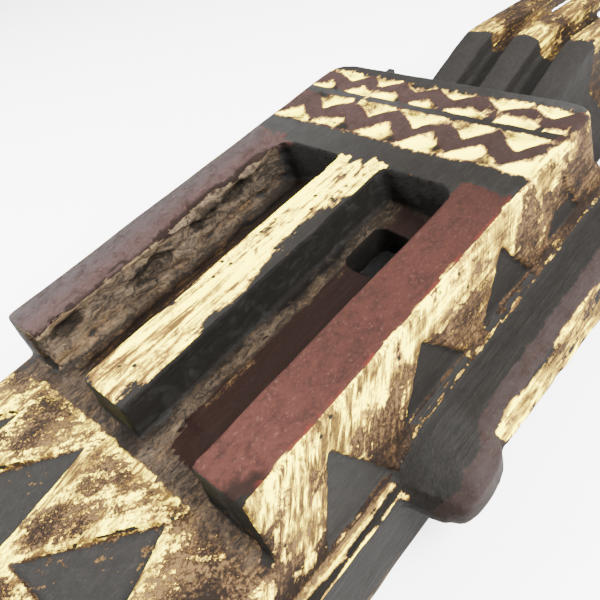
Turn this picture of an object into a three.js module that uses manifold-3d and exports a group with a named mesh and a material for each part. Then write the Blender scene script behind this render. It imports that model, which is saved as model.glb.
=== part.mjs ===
import * as THREE from 'three';
import * as BufferGeometryUtils from 'three/addons/utils/BufferGeometryUtils.js';
import Module from 'manifold-3d';

// A carved wooden face mask, lying on its back. X runs across it, Y runs up it from the chin to the
// crest, and Z comes out of the face. Sizes are in millimetres. While it is built, y = 0 is the lower
// end of the face's bars and z = 0 is the rim at the back; the mesh is then moved along Y to its centre.

// The whole mask
const CHIN_END = -78;
const CREST_END = 424;
const FRONT_Z = 88;

// The face: a box that narrows towards its flat front
const FACE_TOP = 221;
const HALF_FRONT = 72.5;
const SIDE_LEAN = THREE.MathUtils.degToRad( 10.6 );
const CORNER_RADIUS = 12;
const LOW_CORNER_RADIUS = 2.5;
const EDGE_ROUND = 1.8;

// Three bars with two deep channels between them; the floors fall towards the outer bars
const RAIL_WIDTH = 23.6;
const NOSE_WIDTH = 24.5;
const CHANNEL_TOP = 147;
const CHANNEL_DEPTH = 18.5;
const CHANNEL_ROUND = 9;
const FLOOR_FALL = 4;
const WALL_LEAN = 3;
const BAR_END_LEAN = 1.5;

// Square eye holes in the channel floors, the left one narrower
const EYE_LOW_Y = 106;
const EYE_LENGTH = 26;
const EYE_ROUND = 4;
const RIGHT_EYE = { inner: 18.5, outer: 44.5 };
const LEFT_EYE = { inner: 16.5, outer: 36 };

// The ledge and the lower wall down to the rim
const LEDGE_Z = 40;
const LEDGE_WIDTH = 5.6;

// The chin: a crowned slope with a rounded end
const CHIN_SLOPE = THREE.MathUtils.degToRad( 7 );
const CHIN_EDGE = - 7;
const CHIN_SHOULDER_Z = 60;
const CHIN_RADIUS = 38;
const CHIN_END_LEAN = 9;

// The hollow for the wearer's face
const WALL = 13;
const FLOOR_THICKNESS = 12;
const BROW_HOLLOW_Z = 71;
const BROW_HOLLOW_START = 151;
const HOLLOW_HALF_TOP = 60;

// Carving on the forehead: two rows of chips on both sides of a raised zigzag, cut by hand.
// The bends are the places across the mask where the zigzag turns, the first one towards the crest.
const CHIP_DEPTH = 2.2;
const CHIP_RISE = 1.5;
const ZIGZAG_THICKNESS = 7;
const ROW_END_X = 70;
const ROWS = [
	{ low: 165.5, high: 190.5, bends: [ - 61, - 48, - 34, - 21.5, - 7.5, 6, 18, 31, 42.5, 56, 67 ] },
	{ low: 195, high: 213, bends: [ - 62, - 51.5, - 41, - 31.5, - 22, - 11, - 1, 10, 22, 36, 47, 59, 68 ] },
];

// Carving on the sides: sunk triangles, the first on the ledge and the rest on the ear
const SIDE_TRIANGLES = [
	{ low: 13.5, apex: 32, high: 51, base: 41.5 },
	{ low: 61, apex: 82.5, high: 102, base: 51.5 },
	{ low: 113, apex: 136, high: 152.5, base: 51.5 },
	{ low: 165, apex: 186.5, high: 195, base: 53 },
];
const SIDE_APEX_Z = 76;
const SIDE_SINK = 2;

// Carving on the chin: three shallow triangles that lean to one side
const CHIN_SINK = 1.6;
const CHIN_TRIANGLES = [
	[ [ - 47, - 20 ], [ - 68, - 40 ], [ - 46, - 46 ] ],
	[ [ - 5, - 14 ], [ - 44, - 53 ], [ - 3, - 57 ] ],
	[ [ 41, - 14 ], [ 6, - 55 ], [ 54, - 55 ] ],
];

// The ears: long bars along both sides, tapered at the free end, with a knob at the lower end
// and a low bead where they meet the face
const EAR_LOW_Y = 44;
const EAR_END_Y = 292;
const EAR_TOP_Z = 50.5;
const EAR_INNER_X = 76;
const EAR_RIDGE_X = 95;
const EAR_SHOULDER_X = 101;
const EAR_OUTER_X = 107;
const BEAD_WIDTH = 6.5;
const BEAD_HEIGHT = 1.1;
const EAR_UNDERSIDE = { lowY: 80, lowZ: 33.5, highY: 170, highZ: 23 };
const EAR_TAPER = 30;
const KNOB = { y: 63, halfLength: 17, x: 103.5, swell: 7.3, ridgeSwell: 8.5, underside: 29.5 };

// The crest: three ribs on a neck behind the forehead, which end as free prongs
const RIB_WIDTH = 16.1;
const RIB_PITCH = 29.6;
const RIB_FACET = 1.8;
const GROOVE_DEPTH = 12;
const BEND_Y = 297;
const BEND_Z = 75.4;
const CREST_LOW_Z = 55;
const CREST_TIP_Z = 58;
const PRONG_START_Y = 375;
const PRONG_THICKNESS = 12;
const NECK_BOTTOM_Z = 16;
const NECK_HALF_BASE = 58;
const NECK_FLARE_Z = 44;

const wasm = await Module();
wasm.setup();

// A closed three.js geometry as a solid that can be joined and cut
function solid( geometry ) {

	const bare = geometry.clone();
	bare.deleteAttribute( 'normal' );
	bare.deleteAttribute( 'uv' );
	const merged = BufferGeometryUtils.mergeVertices( bare, 1e-4 );
	return new wasm.Manifold( new wasm.Mesh( {
		numProp: 3,
		vertProperties: new Float32Array( merged.attributes.position.array ),
		triVerts: new Uint32Array( merged.index.array ),
	} ) );

}

function outline( points ) {

	return new THREE.Shape( points.map( ( [ a, b ] ) => new THREE.Vector2( a, b ) ) );

}

// An outline in x and z, drawn out along Y
function alongY( shape, low, high, steps = 1 ) {

	const geometry = new THREE.ExtrudeGeometry( shape, { depth: high - low, steps, bevelEnabled: false } );
	return geometry.rotateX( Math.PI / 2 ).translate( 0, high, 0 );

}

// An outline in y and z, drawn out along X
function alongX( shape, low, high ) {

	const geometry = new THREE.ExtrudeGeometry( shape, { depth: high - low, bevelEnabled: false } );
	const turn = new THREE.Matrix4().makeBasis(
		new THREE.Vector3( 0, 1, 0 ), new THREE.Vector3( 0, 0, 1 ), new THREE.Vector3( 1, 0, 0 ) );
	return geometry.applyMatrix4( turn ).translate( low, 0, 0 );

}

// An outline in x and y, drawn out along Z, with both rims rounded by the given radius
function alongZ( shape, low, high, round = 0 ) {

	const geometry = new THREE.ExtrudeGeometry( shape, {
		depth: high - low - 2 * round,
		curveSegments: 6,
		bevelEnabled: round > 0,
		bevelThickness: round,
		bevelSize: round,
		bevelOffset: - round,
		bevelSegments: 2,
	} );
	return geometry.translate( 0, 0, low + round );

}

// A solid through rings of points in x and z; every ring has its own place along Y
function loft( rings ) {

	const corners = rings[ 0 ].points.length;
	const steps = rings.length - 1;
	const circle = rings[ 0 ].points.map( ( _, i ) => {

		const turn = 2 * Math.PI * i / corners;
		return [ Math.cos( turn ), Math.sin( turn ) ];

	} );
	const extrusion = { depth: steps, steps, bevelEnabled: false };
	const geometry = new THREE.ExtrudeGeometry( outline( circle ), extrusion );
	const position = geometry.attributes.position;
	for ( let i = 0; i < position.count; i ++ ) {

		const turn = Math.atan2( position.getY( i ), position.getX( i ) ) / ( 2 * Math.PI );
		const corner = ( Math.round( turn * corners ) + corners ) % corners;
		const { y, points } = rings[ steps - Math.round( position.getZ( i ) ) ];
		const [ x, z, shift = 0 ] = points[ corner ];
		position.setXYZ( i, x, y + shift, z );

	}

	return solid( geometry );

}

// A rectangle with its own radius on each corner, counted round from the lower left one
function roundedPlan( left, right, low, high, radii ) {

	const shape = new THREE.Shape();
	const corners = [
		[ left, low, 1, 1 ], [ right, low, - 1, 1 ], [ right, high, - 1, - 1 ], [ left, high, 1, - 1 ],
	];
	corners.forEach( ( [ x, y, inX, inY ], i ) => {

		const r = radii[ i ];
		const start = Math.PI + i * Math.PI / 2;
		if ( r > 0 ) shape.absarc( x + inX * r, y + inY * r, r, start, start + Math.PI / 2 );
		else if ( i === 0 ) shape.moveTo( x, y );
		else shape.lineTo( x, y );

	} );
	return shape;

}

function sideX( z ) {

	return HALF_FRONT + ( FRONT_Z - z ) * Math.tan( SIDE_LEAN );

}

// The shape itself and its mirror image on the mask's other side
function pair( shape ) {

	return shape.add( shape.mirror( [ 1, 0, 0 ] ) );

}

const FLOOR_Z = FRONT_Z - CHANNEL_DEPTH;
const RIM_X = sideX( LEDGE_Z ) + LEDGE_WIDTH;
const CHANNEL_INNER_X = NOSE_WIDTH / 2;
const CHANNEL_OUTER_X = HALF_FRONT - RAIL_WIDTH;

// How far a place across the mask lies below the middle of the channel floors
function floorFall( x ) {

	const across = ( Math.abs( x ) - CHANNEL_INNER_X ) / ( CHANNEL_OUTER_X - CHANNEL_INNER_X );
	return Math.max( 0, FLOOR_FALL * across );

}

// The box above the ledge, as wide as the rim's ledge below and narrower in front
function faceBox() {

	const radii = [ LOW_CORNER_RADIUS, LOW_CORNER_RADIUS, CORNER_RADIUS, CORNER_RADIUS ];
	const plan = roundedPlan( - HALF_FRONT, HALF_FRONT, 0, FACE_TOP, radii );
	const geometry = alongZ( plan, LEDGE_Z - 6, FRONT_Z, EDGE_ROUND );
	const position = geometry.attributes.position;
	for ( let i = 0; i < position.count; i ++ ) {

		const z = position.getZ( i );
		const lean = Math.min( BAR_END_LEAN * ( FRONT_Z - z ) / CHANNEL_DEPTH, BAR_END_LEAN );
		position.setX( i, position.getX( i ) * sideX( z ) / HALF_FRONT );
		if ( position.getY( i ) < CHANNEL_TOP / 2 ) position.setY( i, position.getY( i ) - lean );

	}

	return solid( geometry );

}

// The lower body: the crowned chin, the ledge and the wall down to the rim
function lowerBody() {

	const right = [
		[ RIM_X, 0 ], [ RIM_X, LEDGE_Z ], [ sideX( LEDGE_Z ), LEDGE_Z + 1 ],
		[ sideX( CHIN_SHOULDER_Z ), CHIN_SHOULDER_Z ], [ CHANNEL_OUTER_X, FLOOR_Z - FLOOR_FALL ],
		[ CHANNEL_INNER_X, FLOOR_Z ],
	];
	const left = right.map( ( [ x, z ] ) => [ - x, z ] ).reverse();
	const section = solid( alongY( outline( [ ...right, ...left ] ), CHIN_END, FACE_TOP ) );
	const radii = [ CHIN_RADIUS, CHIN_RADIUS, CORNER_RADIUS + 4, CORNER_RADIUS + 4 ];
	const plan = alongZ( roundedPlan( - RIM_X, RIM_X, CHIN_END, FACE_TOP, radii ), 0, FRONT_Z );
	const position = plan.attributes.position;
	for ( let i = 0; i < position.count; i ++ ) {

		const along = position.getY( i );
		const lean = CHIN_END_LEAN * position.getZ( i ) / FRONT_Z;
		const share = Math.max( 0, ( CHIN_EDGE - along ) / ( CHIN_EDGE - CHIN_END ) );
		position.setY( i, along + lean * share );

	}

	const fall = ( CHIN_EDGE - CHIN_END ) * Math.tan( CHIN_SLOPE );
	const above = outline( [
		[ CHIN_EDGE, FLOOR_Z ], [ CHIN_EDGE, FRONT_Z ], [ CHIN_END - 1, FRONT_Z ], [ CHIN_END - 1, FLOOR_Z - fall ],
	] );
	return section.intersect( solid( plan ) ).subtract( solid( alongX( above, - RIM_X - 1, RIM_X + 1 ) ) );

}

// The right channel, with its sharp inner corner, leaning outer wall and falling floor
function channel() {

	const plan = roundedPlan( CHANNEL_INNER_X, CHANNEL_OUTER_X, - 12, CHANNEL_TOP, [ 0, 0, CHANNEL_ROUND, 3 ] );
	const geometry = alongZ( plan, FLOOR_Z, FRONT_Z + 5 );
	const position = geometry.attributes.position;
	for ( let i = 0; i < position.count; i ++ ) {

		const x = position.getX( i );
		if ( position.getZ( i ) > FRONT_Z ) continue;
		position.setZ( i, FLOOR_Z - floorFall( x ) );
		position.setX( i, x - WALL_LEAN * ( x - CHANNEL_INNER_X ) / ( CHANNEL_OUTER_X - CHANNEL_INNER_X ) );

	}

	return solid( geometry );

}

function eyeHole( left, right ) {

	const radii = [ EYE_ROUND, EYE_ROUND, EYE_ROUND, EYE_ROUND ];
	const plan = roundedPlan( left, right, EYE_LOW_Y, EYE_LOW_Y + EYE_LENGTH, radii );
	return solid( alongZ( plan, FLOOR_Z - 2 * FLOOR_THICKNESS, FLOOR_Z + 2 ) );

}

// The hollow behind the face: higher behind the forehead, lower behind the chin
function hollow() {

	const low = CHIN_END + WALL + CHIN_END_LEAN;
	const high = FACE_TOP - WALL;
	const roof = FLOOR_Z - FLOOR_FALL - FLOOR_THICKNESS;
	const profile = outline( [
		[ low, - 1 ], [ high + 3, - 1 ], [ high, BROW_HOLLOW_Z - 12 ], [ high - 10, BROW_HOLLOW_Z ],
		[ BROW_HOLLOW_START + 16, BROW_HOLLOW_Z ], [ BROW_HOLLOW_START, roof ], [ 0, roof ], [ low + 8, roof - 12 ],
	] );
	const half = RIM_X - WALL;
	const arch = outline( [
		[ - half, - 1 ], [ half, - 1 ], [ half - 3, LEDGE_Z ], [ HOLLOW_HALF_TOP, BROW_HOLLOW_Z ],
		[ - HOLLOW_HALF_TOP, BROW_HOLLOW_Z ], [ - half + 3, LEDGE_Z ],
	] );
	return solid( alongX( profile, - RIM_X, RIM_X ) ).intersect( solid( alongY( arch, CHIN_END, FACE_TOP ) ) );

}

// One row of chips: triangles that leave a raised zigzag between them, deepest along the zigzag
function chipRow( { low, high, bends } ) {

	const rise = ( high - low - ZIGZAG_THICKNESS ) * 0.72;
	const chips = bends.map( ( x, i ) => {

		const facesChin = i % 2 === 1;
		const half = 0.42 * ( ( bends[ i + 1 ] ?? x + 12 ) - ( bends[ i - 1 ] ?? x - 12 ) );
		const base = facesChin ? high : low;
		const apex = facesChin ? high - rise : low + rise;
		const start = Math.max( x - half, - ROW_END_X );
		const end = Math.min( x + half, ROW_END_X );
		const points = [ [ start, base ], [ x, apex ], [ end, base ] ];
		const plan = outline( facesChin ? points : points.reverse() );
		const geometry = alongZ( plan, FRONT_Z - CHIP_DEPTH, FRONT_Z + 3 );
		const position = geometry.attributes.position;
		for ( let k = 0; k < position.count; k ++ ) {

			const atBase = Math.abs( position.getY( k ) - base ) < rise / 2;
			if ( atBase ) position.setZ( k, position.getZ( k ) + CHIP_RISE );

		}

		return solid( geometry );

	} );
	return chips.reduce( ( all, chip ) => all.add( chip ) );

}

// A flat-based cutter that sinks an outline, drawn on the right side face, by the given depth
function sideSink( points, depth ) {

	const up = new THREE.Vector3( - Math.sin( SIDE_LEAN ), 0, Math.cos( SIDE_LEAN ) );
	const out = new THREE.Vector3( Math.cos( SIDE_LEAN ), 0, Math.sin( SIDE_LEAN ) );
	const along = new THREE.Vector3( 0, 1, 0 );
	const local = points.map( ( [ y, z ] ) => [ y, ( z - FRONT_Z ) / Math.cos( SIDE_LEAN ) ] );
	const geometry = new THREE.ExtrudeGeometry( outline( local ), { depth: 20, bevelEnabled: false } );
	const place = new THREE.Matrix4().makeBasis( along, up, out );
	place.setPosition( new THREE.Vector3( HALF_FRONT, 0, FRONT_Z ).addScaledVector( out, - depth ) );
	return solid( geometry.applyMatrix4( place ) );

}

function sideTriangles() {

	const triangles = SIDE_TRIANGLES.map( ( { low, apex, high, base } ) =>
		sideSink( [ [ low, base ], [ high, base ], [ apex, SIDE_APEX_Z ] ], SIDE_SINK ) );
	return triangles.reduce( ( all, triangle ) => all.add( triangle ) );

}

function chinTriangles() {

	const cutters = CHIN_TRIANGLES.map( ( points ) => {

		const geometry = alongZ( outline( points ), - CHIN_SINK, 20 );
		const position = geometry.attributes.position;
		for ( let i = 0; i < position.count; i ++ ) {

			if ( position.getZ( i ) < 0 ) position.setZ( i, - CHIN_SINK - floorFall( position.getX( i ) ) );

		}

		geometry.translate( 0, - CHIN_EDGE, 0 ).rotateX( CHIN_SLOPE ).translate( 0, CHIN_EDGE, FLOOR_Z );
		return solid( geometry );

	} );
	return cutters.reduce( ( all, cutter ) => all.add( cutter ) );

}

// One section of the right ear: a flat top, a ridge and an outer face that leans outwards
function earRing( y ) {

	const { lowY, lowZ, highY, highZ } = EAR_UNDERSIDE;
	const across = THREE.MathUtils.clamp( ( y - KNOB.y ) / KNOB.halfLength, - 1, 1 );
	const swell = Math.pow( 1 - across * across, across < 0 ? 0.3 : 0.4 );
	const onKnob = y < KNOB.y + KNOB.halfLength;
	const outer = onKnob ? KNOB.x + KNOB.swell * swell : EAR_OUTER_X;
	const chamfer = onKnob ? 3 : 6;
	const rising = THREE.MathUtils.mapLinear( y, lowY, highY, lowZ, highZ );
	const bottom = onKnob ? KNOB.underside : THREE.MathUtils.clamp( rising, highZ, lowZ );
	const rounding = 1 - Math.sin( Math.PI / 2 * Math.min( 1, ( y - EAR_LOW_Y ) / 26 ) );
	const tip = Math.max( 0, 1 - ( EAR_END_Y - y ) / EAR_TAPER ) ** 2;
	const top = EAR_TOP_Z - 12 * rounding - 6 * tip;
	const inner = EAR_INNER_X + 14 * tip;
	const shoulderX = onKnob ? outer - 0.8 : EAR_SHOULDER_X - tip;
	const shoulderZ = onKnob ? Math.min( 44, top - 2.5 ) : 47 - 4 * tip;
	const ridgeX = Math.min( EAR_RIDGE_X + KNOB.ridgeSwell * swell, shoulderX - 0.5 );
	const oblique = 3 * rounding;
	return { y, points: [
		[ inner, bottom ], [ outer - chamfer, bottom, oblique ], [ outer, bottom + chamfer + 1, oblique ],
		[ shoulderX, shoulderZ, oblique ], [ ridgeX, top - 1.5, oblique ],
		[ inner + BEAD_WIDTH, top ], [ inner + BEAD_WIDTH - 2, top + BEAD_HEIGHT ], [ inner, top + BEAD_HEIGHT ],
	] };

}

// The right ear, from the blunt lower end of its knob to its free upper end
function ear() {

	const knobEnd = KNOB.y + KNOB.halfLength;
	const nearEnd = [ 0, 2, 4.5, 8, 12, 17, 22, 27, 31, 33.5 ].map( ( step ) => EAR_LOW_Y + step );
	const farEnd = [ 30, 20, 12, 6, 2, 0 ].map( ( step ) => EAR_END_Y - step );
	const stations = [ ...nearEnd, knobEnd - 0.2, knobEnd + 0.5, EAR_UNDERSIDE.highY, ...farEnd ];
	return loft( stations.map( earRing ) );

}

// The height of the crest's ribs at a place along the mask
function crestZ( y ) {

	if ( y < BEND_Y ) return THREE.MathUtils.mapLinear( y, FACE_TOP, BEND_Y, CREST_LOW_Z, BEND_Z );
	return THREE.MathUtils.mapLinear( y, BEND_Y, CREST_END, BEND_Z, CREST_TIP_Z );

}

// The places along the crest where its line changes, and its height there, softened at the bend
function crestLine( from, to ) {

	const stations = [ from, BEND_Y - 9, BEND_Y, BEND_Y + 11, to ];
	return stations.map( ( y ) => [ y, crestZ( y ) - ( y === BEND_Y ? 0.8 : 0 ) ] );

}

const CREST_ROOT = FACE_TOP - WALL + 1;

// One section of a rib, with a broad facet that falls to the right
function ribRing( x, y, top, bottom, half = RIB_WIDTH / 2 ) {

	return { y, points: [
		[ x - half, bottom ], [ x + half, bottom ],
		[ x + half, top - RIB_FACET - 0.8 ], [ x + half - 0.8, top - RIB_FACET ],
		[ x + 0.5, top ], [ x - half + 1.2, top - 0.2 ], [ x - half, top - 1.4 ],
	] };

}

// One rib: its lower half stands on the neck, its upper half is a free prong with a blunt tip
function rib( x ) {

	const onNeck = crestLine( CREST_ROOT, PRONG_START_Y - 30 ).map( ( [ y, top ] ) =>
		ribRing( x, y, top, NECK_BOTTOM_Z + 8 ) );
	const free = [ PRONG_START_Y, CREST_END - 8 ].map( ( y ) =>
		ribRing( x, y, crestZ( y ), crestZ( y ) - PRONG_THICKNESS ) );
	const tip = [ [ CREST_END - 2, 1.5 ], [ CREST_END, 4 ] ].map( ( [ y, blunt ] ) => {

		const top = crestZ( y ) - blunt;
		return ribRing( x, y, top, top - PRONG_THICKNESS + 2 * blunt, RIB_WIDTH / 2 - blunt / 2 );

	} );
	return loft( [ ...onNeck, ...free, ...tip ] );

}

// The neck under the ribs, with flanks that spread towards its base
function neck() {

	const half = RIB_PITCH + RIB_WIDTH / 2;
	const right = [
		[ NECK_HALF_BASE - 10, NECK_BOTTOM_Z ], [ NECK_HALF_BASE, NECK_BOTTOM_Z + 7 ],
		[ half, NECK_FLARE_Z ], [ half, FRONT_Z ],
	];
	const left = right.map( ( [ x, z ] ) => [ - x, z ] ).reverse();
	const section = solid( alongY( outline( [ ...right, ...left ] ), CREST_ROOT, PRONG_START_Y + 2 ) );
	const grooves = crestLine( CREST_ROOT, PRONG_START_Y ).map( ( [ y, top ] ) => [ y, top - GROOVE_DEPTH ] );
	const profile = outline( [
		[ CREST_ROOT, NECK_BOTTOM_Z - 1 ], [ PRONG_START_Y - 34, NECK_BOTTOM_Z - 1 ],
		[ PRONG_START_Y - 22, NECK_BOTTOM_Z + 8 ], [ PRONG_START_Y - 6, NECK_FLARE_Z ], ...grooves.reverse(),
	] );
	return section.intersect( solid( alongX( profile, - NECK_HALF_BASE - 1, NECK_HALF_BASE + 1 ) ) );

}

// The whole mask is carved from one piece of wood
let mask = faceBox().add( lowerBody() );
mask = mask.subtract( pair( channel() ) );
mask = mask.add( pair( ear() ) );
mask = mask.add( neck() );
for ( const x of [ - RIB_PITCH, 0, RIB_PITCH ] ) mask = mask.add( rib( x ) );
mask = mask.subtract( hollow() );
mask = mask.subtract( eyeHole( RIGHT_EYE.inner, RIGHT_EYE.outer ) );
mask = mask.subtract( eyeHole( - LEFT_EYE.outer, - LEFT_EYE.inner ) );
for ( const row of ROWS ) mask = mask.subtract( chipRow( row ) );
mask = mask.subtract( pair( sideTriangles() ) );
mask = mask.subtract( chinTriangles() );

const carved = mask.getMesh();
const geometry = new THREE.BufferGeometry();
const corners = new Float32Array( carved.vertProperties );
geometry.setAttribute( 'position', new THREE.BufferAttribute( corners, 3 ) );
geometry.setIndex( new THREE.BufferAttribute( new Uint32Array( carved.triVerts ), 1 ) );
geometry.computeVertexNormals();

const wood = new THREE.MeshStandardMaterial( { name: 'painted_wood', color: 0x6a5040, roughness: 0.75 } );
const maskMesh = new THREE.Mesh( geometry, wood );
maskMesh.name = 'mask';
maskMesh.position.y = - ( CHIN_END + CREST_END ) / 2;

const part = new THREE.Group();
part.add( maskMesh );
export default part;
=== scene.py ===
import itertools
import math

import bpy
import numpy as np
from mathutils import Matrix, Vector


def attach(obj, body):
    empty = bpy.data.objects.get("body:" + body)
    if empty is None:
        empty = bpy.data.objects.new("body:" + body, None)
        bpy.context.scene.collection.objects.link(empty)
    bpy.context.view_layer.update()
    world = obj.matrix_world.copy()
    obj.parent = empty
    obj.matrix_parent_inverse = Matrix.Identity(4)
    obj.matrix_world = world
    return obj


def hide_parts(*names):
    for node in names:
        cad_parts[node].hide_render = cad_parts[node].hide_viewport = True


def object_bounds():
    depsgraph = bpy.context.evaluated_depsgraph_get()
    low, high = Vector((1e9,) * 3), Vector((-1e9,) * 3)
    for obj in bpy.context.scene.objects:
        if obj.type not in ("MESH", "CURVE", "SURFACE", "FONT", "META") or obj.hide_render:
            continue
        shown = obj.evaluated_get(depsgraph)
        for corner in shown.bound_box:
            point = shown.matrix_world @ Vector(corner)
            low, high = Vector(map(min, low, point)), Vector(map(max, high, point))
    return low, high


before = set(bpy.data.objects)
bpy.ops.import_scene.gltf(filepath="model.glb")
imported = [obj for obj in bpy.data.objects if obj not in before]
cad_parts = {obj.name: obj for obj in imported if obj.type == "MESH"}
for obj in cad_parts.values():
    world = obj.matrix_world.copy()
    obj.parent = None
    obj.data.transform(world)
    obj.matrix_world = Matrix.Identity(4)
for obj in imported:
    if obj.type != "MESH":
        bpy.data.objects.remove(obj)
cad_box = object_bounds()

# The carving is described in millimetres: x across the face, y up from the lower end of its bars,
# z out from the rim at the back. ORIGIN_Y takes y to the frame's own origin.
MM = 0.001
ORIGIN_Y = 173

# The main shapes, as the solid has them
FRONT_Z = 88
FACE_TOP = 221
HALF_FRONT = 72.5
SIDE_SLOPE = math.tan(math.radians(10.6))
RAIL_INNER_X = 48.9
RAILS_TOP = 152
NOSE_HALF = 12.25
NOSE_TOP = 151.5
CHANNEL_TOP = 147
CHANNEL_LOW_Z = 58
FLOOR_Z = 69.5
EYE_X = (14, 47)
EYE_Y = (104, 134)
LEDGE_X = (80, 89)
LEDGE_Z = 40
CHIN_EDGE = -7
CHIN_LOW_Z = 48
EAR_LOW_Y = 44
EAR_LOW_Z = 20
EAR_INNER_X = 87.8
EAR_RIDGE_X = 95
EAR_SHOULDER_X = 101
EAR_OUTER_X = 107
KNOB_MIDDLE_Y = 63
KNOB_END_Y = 80
BEAD_LOW_Y = 52
BEAD_X = 80.8
BEAD_OUTER_X = 84

# The neck and the crest: how high they stand at the face, at the bend and at the prongs' ends
NECK_Z = 55
BEND_Y = 297
BEND_Z = 75.4
PRONG_END_Y = 424
PRONG_END_Z = 58
CREST_HALF = 66
RIB_PITCH = 29.6
RIB_HALF = 8.05

# The hollow at the back: half its width, its ends, and how deep it goes behind the face and the forehead
HOLLOW_HALF = 75
HOLLOW_Y = (-62, 212)
FACE_HOLLOW_Z = 57
BROW_HOLLOW_Z = 74

# The painted bands across the forehead, and the bends of the zigzag in each of them
LOW_ROW = {"low": 165.5, "high": 190.5, "bends": (-61, -48, -34, -21.5, -7.5, 6, 18, 31, 42.5, 56, 67)}
HIGH_ROW = {"low": 195, "high": 213, "bends": (-62, -51.5, -41, -31.5, -22, -11, -1, 10, 22, 36, 47, 59, 68)}
ZIGZAG_THICKNESS = 7
ROW_END_X = 70
ROWS_START = 163.7
ROWS_END = FACE_TOP - 8
ROW_EDGES = ((163.7, 166.6), (188.2, 190), (211.5, 213.4))
LINE_Y = (190.6, 194.9)
LINE_END_X = 68

# The chips beside a zigzag: their share of the band's free height and of the step between bends, the
# step beyond the last bend, and how far their paint runs over their edges
CHIP_RISE = 0.57
CHIP_HALF = 0.45
END_STEP = 12
CHIP_SPREAD = 1.4

# The sunk triangles: places along a side as low corner, apex and high corner, then the base's height
SIDE_TRIANGLES = (
    (13.5, 32, 51, 41.5),
    (61, 82.5, 102, 51.5),
    (113, 136, 152.5, 51.5),
    (165, 186.5, 195, 53),
)
SIDE_APEX_Z = 76
CHIN_TRIANGLES = (
    ((-47, -20), (-68, -40), (-46, -46)),
    ((-5, -14), (-44, -53), (-3, -57)),
    ((41, -14), (6, -55), (54, -55)),
)

# Places where wood has broken out of the left channel's wall: along it, height and half length
GOUGES = ((15, 80.5, 8), (57, 76, 13), (92, 79.5, 10), (113, 79.5, 11))
GOUGE_HALF_HEIGHT = 4.5

# Wear: the right bar's rubbed corner with its radius, where the left bar's paint reaches furthest down
# its worn edge, the middle of the nose's chipped edge, how far the pale, sandy strip beside the nose
# reaches (its paleness partly a painted pool of light), and two lines of cream left on the ledge
CORNER = (73, 1)
CORNER_RADIUS = 8
LAP_MIDDLE_Y = 95
NOSE_CHIPS_Y = 97
STRIP_X = 19.5
INNER_LEDGE_LINE = (81.4, 83.3)
OUTER_LEDGE_LINE = (85.4, 88.3)

# The fine mesh
VOXEL = 1.1 * MM
MAX_TRIANGLES = 190000

# Streaks on the chin lean this far from the mask's length, and those on its sides this far from upright
CHIN_LEAN = math.radians(42)
SIDE_LEAN = math.radians(31)

# The camera stands where the photographer stood
CAMERA_PLACE = (0.1609, -0.1976, 0.2394)
CAMERA_RIGHT = (0.7309, 0.6460, -0.2200)
CAMERA_FORWARD = (-0.5838, 0.4248, -0.6919)
CAMERA_LENS_MM = 36.98
CAMERA_SENSOR_MM = 36
CAMERA_CLIP_START = 0.01

# The studio
SKY_STRENGTH = 2.0
KEY_LIGHT = {"place": (0.72, 0.08, 0.85), "size": 0.7, "power": 110}
FILL_LIGHT = {"place": (-0.6, -0.45, 0.75), "size": 0.45, "power": 45}
FLOOR_HALF = 4.0


# Noise, ramps and distances over arrays of points


def lattice(cell, seed):
    """A fixed random value between -1 and 1 for each whole-number cell."""
    mix = cell[:, 0] * 73856093 ^ cell[:, 1] * 19349663 ^ cell[:, 2] * 83492791 ^ seed * 40503
    mix = (mix ^ (mix >> 13)) * 1274126177 & 0xFFFFFFFF
    return ((mix ^ (mix >> 16)) & 0xFFFF) / 32767.5 - 1


def noise(points, size, seed):
    """Smooth noise between -1 and 1 with lumps of the given size, one length or one for each axis."""
    scaled = points / np.array(size, float)
    cell = np.floor(scaled).astype(np.int64)
    t = scaled - cell
    t = t * t * (3 - 2 * t)
    total = np.zeros(len(points))
    for corner in itertools.product((0, 1), repeat=3):
        weight = np.prod(np.where(corner, t, 1 - t), axis=1)
        total += weight * lattice(cell + corner, seed)
    return total


def ramp(value, low, high):
    """0 at low and 1 at high, straight between them."""
    return np.clip((value - low) / (high - low), 0, 1)


def inside(u, v, corners):
    """The distance inside a convex outline, negative outside it."""
    area = sum(a[0] * b[1] - b[0] * a[1] for a, b in zip(corners, corners[1:] + corners[:1]))
    turn = 1 if area > 0 else -1
    distance = np.full(len(u), np.inf)
    for a, b in zip(corners, corners[1:] + corners[:1]):
        length = math.hypot(b[0] - a[0], b[1] - a[1])
        edge = turn * ((b[0] - a[0]) * (v - a[1]) - (b[1] - a[1]) * (u - a[0])) / length
        distance = np.minimum(distance, edge)
    return distance


def span(value, low, high):
    """The distance inside a range, negative outside it."""
    return np.minimum(value - low, high - value)


def both(*distances):
    return np.minimum.reduce(distances)


def either(*distances):
    return np.maximum.reduce(distances)


# The fine mesh: a copy of the solid with hand-cut surfaces and worn edges


def in_mm(coordinates):
    return coordinates / MM + np.array((0, ORIGIN_Y, 0))


def in_metres(p):
    return (p - np.array((0, ORIGIN_Y, 0))) * MM


def read_points(mesh):
    flat = np.empty(len(mesh.vertices) * 3, np.float32)
    mesh.vertices.foreach_get("co", flat)
    return flat.reshape(-1, 3).astype(float)


def write_points(mesh, points):
    mesh.vertices.foreach_set("co", points.astype(np.float32).ravel())
    mesh.update()


def read_normals(mesh):
    flat = np.empty(len(mesh.vertices) * 3, np.float32)
    mesh.vertex_normals.foreach_get("vector", flat)
    return flat.reshape(-1, 3).astype(float)


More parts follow.
